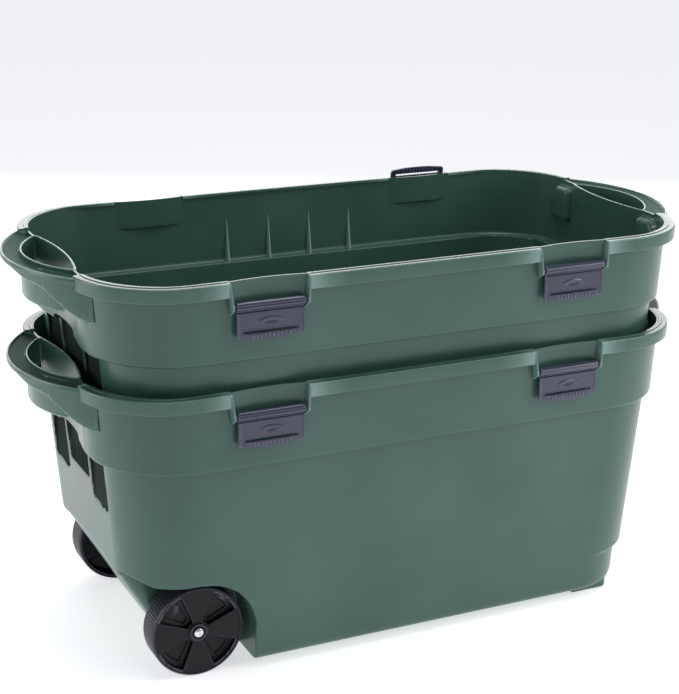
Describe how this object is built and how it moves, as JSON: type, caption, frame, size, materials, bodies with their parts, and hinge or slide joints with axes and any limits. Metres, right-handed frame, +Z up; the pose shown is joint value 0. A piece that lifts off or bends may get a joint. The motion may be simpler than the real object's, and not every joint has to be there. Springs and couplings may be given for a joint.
{
  "type": "wheeled deck storage box",
  "caption": "Nested pair of wheeled green plastic storage tubs with end handles and pivoting lid latches, open at the top.",
  "frame": {"origin": "on the ground under the middle of the pair, halfway over the handles and on the tubs' lengthwise middle plane", "axes": "+Z up, +X along the length away from the wheel end, +Y from the front long side to the rear one"},
  "size_m": [1.0786, 0.528, 0.6264],
  "materials": {
    "tub_plastic": "satin moulded polypropylene, grey green",
    "latch_plastic": "satin moulded plastic, dark purple grey",
    "wheel_plastic": "satin moulded plastic, near black",
    "zinc_steel": "bright zinc-plated steel"
  },
  "bodies": {
    "lower_tub": {"lower_tub": "tub_plastic", "lower_axle": "zinc_steel", "lower_axle_cap_front": "zinc_steel", "lower_axle_cap_rear": "zinc_steel"},
    "lower_wheel_front": {"lower_wheel_front": "wheel_plastic"},
    "lower_latch_front_left": {"lower_latch_front_left": "latch_plastic"},
    "lower_latch_front_right": {"lower_latch_front_right": "latch_plastic"},
    "lower_wheel_rear": {"lower_wheel_rear": "wheel_plastic"},
    "lower_latch_rear_left": {"lower_latch_rear_left": "latch_plastic"},
    "lower_latch_rear_right": {"lower_latch_rear_right": "latch_plastic"},
    "upper_tub": {"upper_tub": "tub_plastic", "upper_axle": "zinc_steel", "upper_axle_cap_front": "zinc_steel", "upper_axle_cap_rear": "zinc_steel"},
    "upper_wheel_front": {"upper_wheel_front": "wheel_plastic"},
    "upper_latch_front_left": {"upper_latch_front_left": "latch_plastic"},
    "upper_latch_front_right": {"upper_latch_front_right": "latch_plastic"},
    "upper_wheel_rear": {"upper_wheel_rear": "wheel_plastic"},
    "upper_latch_rear_left": {"upper_latch_rear_left": "latch_plastic"},
    "upper_latch_rear_right": {"upper_latch_rear_right": "latch_plastic"}
  },
  "joints": [
    {"name": "upper_tub_lift", "type": "slide", "parent": "lower_tub", "child": "upper_tub", "axis": [0, 0, 1], "range_m": [0, 0.32]},
    {"name": "lower_wheel_front_spin", "type": "hinge", "parent": "lower_tub", "child": "lower_wheel_front", "pos_m": [-0.3364, -0.18, 0.07065], "axis": [0, 1, 0], "continuous": true},
    {"name": "lower_latch_front_left_pivot", "type": "hinge", "parent": "lower_tub", "child": "lower_latch_front_left", "pos_m": [-0.2422, -0.2577, 0.4195], "axis": [-1, 0, 0], "range_deg": [0, 189]},
    {"name": "lower_latch_front_right_pivot", "type": "hinge", "parent": "lower_tub", "child": "lower_latch_front_right", "pos_m": [0.2422, -0.2577, 0.4195], "axis": [-1, 0, 0], "range_deg": [0, 189]},
    {"name": "lower_wheel_rear_spin", "type": "hinge", "parent": "lower_tub", "child": "lower_wheel_rear", "pos_m": [-0.3364, 0.18, 0.07065], "axis": [0, 1, 0], "continuous": true},
    {"name": "lower_latch_rear_left_pivot", "type": "hinge", "parent": "lower_tub", "child": "lower_latch_rear_left", "pos_m": [-0.2422, 0.2577, 0.4195], "axis": [1, 0, 0], "range_deg": [0, 189]},
    {"name": "lower_latch_rear_right_pivot", "type": "hinge", "parent": "lower_tub", "child": "lower_latch_rear_right", "pos_m": [0.2422, 0.2577, 0.4195], "axis": [1, 0, 0], "range_deg": [0, 189]},
    {"name": "upper_wheel_front_spin", "type": "hinge", "parent": "upper_tub", "child": "upper_wheel_front", "pos_m": [-0.3364, -0.18, 0.22795], "axis": [0, 1, 0], "continuous": true},
    {"name": "upper_latch_front_left_pivot", "type": "hinge", "parent": "upper_tub", "child": "upper_latch_front_left", "pos_m": [-0.2422, -0.2577, 0.5768], "axis": [-1, 0, 0], "range_deg": [0, 189]},
    {"name": "upper_latch_front_right_pivot", "type": "hinge", "parent": "upper_tub", "child": "upper_latch_front_right", "pos_m": [0.2422, -0.2577, 0.5768], "axis": [-1, 0, 0], "range_deg": [0, 189]},
    {"name": "upper_wheel_rear_spin", "type": "hinge", "parent": "upper_tub", "child": "upper_wheel_rear", "pos_m": [-0.3364, 0.18, 0.22795], "axis": [0, 1, 0], "continuous": true},
    {"name": "upper_latch_rear_left_pivot", "type": "hinge", "parent": "upper_tub", "child": "upper_latch_rear_left", "pos_m": [-0.2422, 0.2577, 0.5768], "axis": [1, 0, 0], "range_deg": [0, 189]},
    {"name": "upper_latch_rear_right_pivot", "type": "hinge", "parent": "upper_tub", "child": "upper_latch_rear_right", "pos_m": [0.2422, 0.2577, 0.5768], "axis": [1, 0, 0], "range_deg": [-189, 0]}
  ]
}
